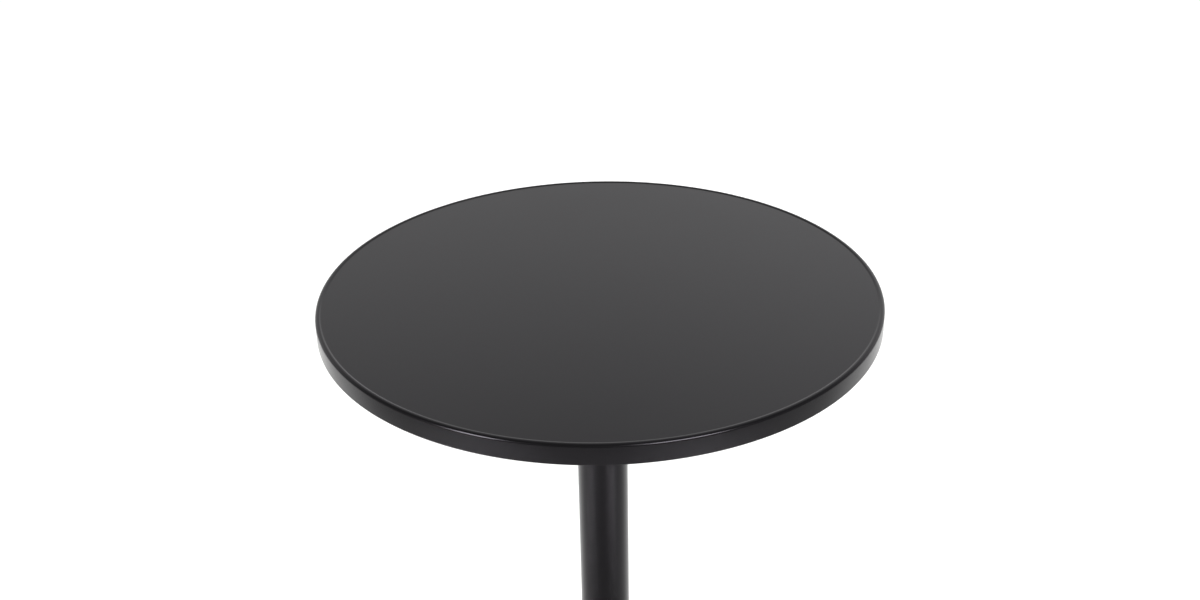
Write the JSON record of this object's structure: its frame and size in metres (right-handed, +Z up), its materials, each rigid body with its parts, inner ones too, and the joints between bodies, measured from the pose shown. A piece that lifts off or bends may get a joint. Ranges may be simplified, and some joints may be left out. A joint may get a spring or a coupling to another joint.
{
  "type": "bistro table",
  "caption": "Round pedestal bistro table: thin disc top with a raised metal lip, slim tube column, cast cross base on screw-adjusted feet.",
  "frame": {"origin": "floor level under the four feet, on the column's axis", "axes": "+Z up along the column, +X and +Y along two arms of the base"},
  "size_m": [0.6, 0.6, 0.75],
  "materials": {
    "powder_coat_top": "satin black powder coat on sheet steel",
    "powder_coat_column": "satin black powder coat on steel tube",
    "powder_coat_casting": "black powder coat over a sand-cast surface",
    "powder_coat_iron": "black powder coat over a sand-cast surface",
    "fibreboard": "raw medium-density fibreboard",
    "backer_paper": "black phenolic backing sheet",
    "zinc_plate": "bright zinc plate",
    "nylon": "moulded black nylon"
  },
  "bodies": {
    "table": {"top_skin": "powder_coat_top", "top_core": "fibreboard", "top_backer": "backer_paper", "threaded_inserts": "zinc_plate", "spider": "powder_coat_casting", "spider_screws": "zinc_plate", "spider_washers": "zinc_plate", "column_tube": "powder_coat_column", "tie_rod": "zinc_plate", "tie_rod_top_nut": "zinc_plate", "tie_rod_top_washer": "zinc_plate", "tie_rod_bottom_nut": "zinc_plate", "tie_rod_spring_washer": "zinc_plate", "tie_rod_plate_washer": "zinc_plate", "base": "powder_coat_iron"},
    "foot_1_pad": {"foot_pad_1": "nylon"},
    "foot_1_stud": {"foot_stud_1": "zinc_plate"},
    "foot_2_pad": {"foot_pad_2": "nylon"},
    "foot_2_stud": {"foot_stud_2": "zinc_plate"},
    "foot_3_pad": {"foot_pad_3": "nylon"},
    "foot_3_stud": {"foot_stud_3": "zinc_plate"},
    "foot_4_pad": {"foot_pad_4": "nylon"},
    "foot_4_stud": {"foot_stud_4": "zinc_plate"}
  },
  "joints": [
    {"name": "foot_1_lift", "type": "slide", "parent": "table", "child": "foot_1_pad", "axis": [0, 0, 1], "range_m": [-0.01, 0]},
    {"name": "foot_1_screw", "type": "hinge", "parent": "foot_1_pad", "child": "foot_1_stud", "pos_m": [0.235, 0, 0.0116], "axis": [0, 0, 1], "range_deg": [-2880, 0]},
    {"name": "foot_2_lift", "type": "slide", "parent": "table", "child": "foot_2_pad", "axis": [0, 0, 1], "range_m": [-0.01, 0]},
    {"name": "foot_2_screw", "type": "hinge", "parent": "foot_2_pad", "child": "foot_2_stud", "pos_m": [0, 0.235, 0.0116], "axis": [0, 0, 1], "range_deg": [-2880, 0]},
    {"name": "foot_3_lift", "type": "slide", "parent": "table", "child": "foot_3_pad", "axis": [0, 0, 1], "range_m": [-0.01, 0]},
    {"name": "foot_3_screw", "type": "hinge", "parent": "foot_3_pad", "child": "foot_3_stud", "pos_m": [-0.235, 0, 0.0116], "axis": [0, 0, 1], "range_deg": [-2880, 0]},
    {"name": "foot_4_lift", "type": "slide", "parent": "table", "child": "foot_4_pad", "axis": [0, 0, 1], "range_m": [-0.01, 0]},
    {"name": "foot_4_screw", "type": "hinge", "parent": "foot_4_pad", "child": "foot_4_stud", "pos_m": [0, -0.235, 0.0116], "axis": [0, 0, 1], "range_deg": [-2880, 0]}
  ],
  "couplings": [
    {"joint": "foot_1_screw", "follows": "foot_1_lift", "rad_per_m": 5026.5},
    {"joint": "foot_2_screw", "follows": "foot_2_lift", "rad_per_m": 5026.5},
    {"joint": "foot_3_screw", "follows": "foot_3_lift", "rad_per_m": 5026.5},
    {"joint": "foot_4_screw", "follows": "foot_4_lift", "rad_per_m": 5026.5}
  ]
}
